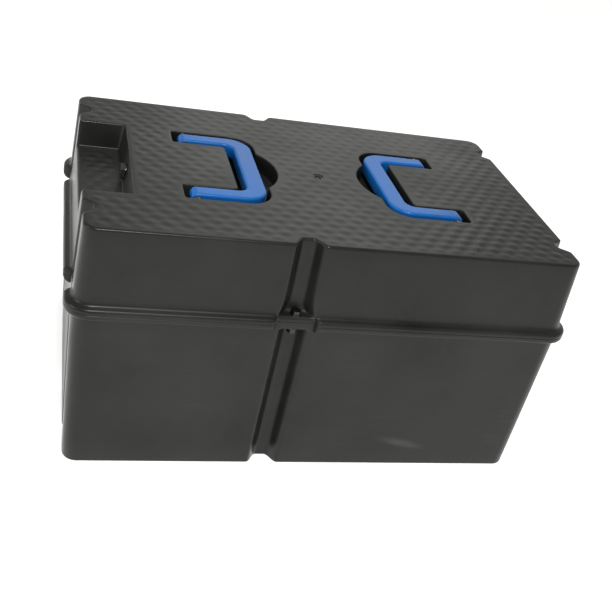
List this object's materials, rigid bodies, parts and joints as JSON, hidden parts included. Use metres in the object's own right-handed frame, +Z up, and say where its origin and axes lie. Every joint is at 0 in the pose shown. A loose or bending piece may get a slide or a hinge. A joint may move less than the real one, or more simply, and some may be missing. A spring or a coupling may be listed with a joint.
{
  "type": "battery box",
  "caption": "Plastic ground box for a storage battery, with a deep bolt-down lid, folding carrying handles, a sealed flange and a recessed cable gland.",
  "frame": {"origin": "on the ground, under the middle of the box", "axes": "+X along the box away from the cable recess, +Y to the back, +Z up"},
  "size_m": [0.576, 0.371, 0.2995],
  "materials": {
    "box_plastic": "satin moulded black plastic, with a fine lattice of soft bumps on the lid top",
    "handle_plastic": "semi-gloss moulded blue plastic",
    "fastener_steel": "black zinc-plated steel",
    "seal_rubber": "soft black rubber",
    "nylon": "natural nylon",
    "gland_plastic": "black moulded nylon with a slight gloss"
  },
  "bodies": {
    "base": {"base_shell": "box_plastic", "perimeter_seal": "seal_rubber", "nut_washers": "fastener_steel", "flange_nuts": "fastener_steel"},
    "lid": {"lid_shell": "box_plastic", "flange_bolts": "fastener_steel", "bolt_washers": "fastener_steel", "bolt_retainers": "nylon", "right_front_pin": "fastener_steel", "right_back_pin": "fastener_steel", "left_front_pin": "fastener_steel", "left_back_pin": "fastener_steel", "handle_spacers": "gland_plastic", "pin_plugs": "seal_rubber", "gland_lock_nut": "gland_plastic", "gland_body": "gland_plastic", "gland_face_seal": "seal_rubber", "gland_insert": "seal_rubber", "gland_cap": "gland_plastic"},
    "right_handle": {"right_handle": "handle_plastic"},
    "left_handle": {"left_handle": "handle_plastic"}
  },
  "joints": [
    {"name": "lid_lift", "type": "slide", "parent": "base", "child": "lid", "axis": [0, 0, 1], "range_m": [0, 0.12]},
    {"name": "right_handle_swing", "type": "hinge", "parent": "lid", "child": "right_handle", "pos_m": [0.153, 0, 0.2915], "axis": [0, 1, 0], "range_deg": [0, 100]},
    {"name": "left_handle_swing", "type": "hinge", "parent": "lid", "child": "left_handle", "pos_m": [-0.153, 0, 0.2915], "axis": [0, -1, 0], "range_deg": [0, 100]}
  ]
}
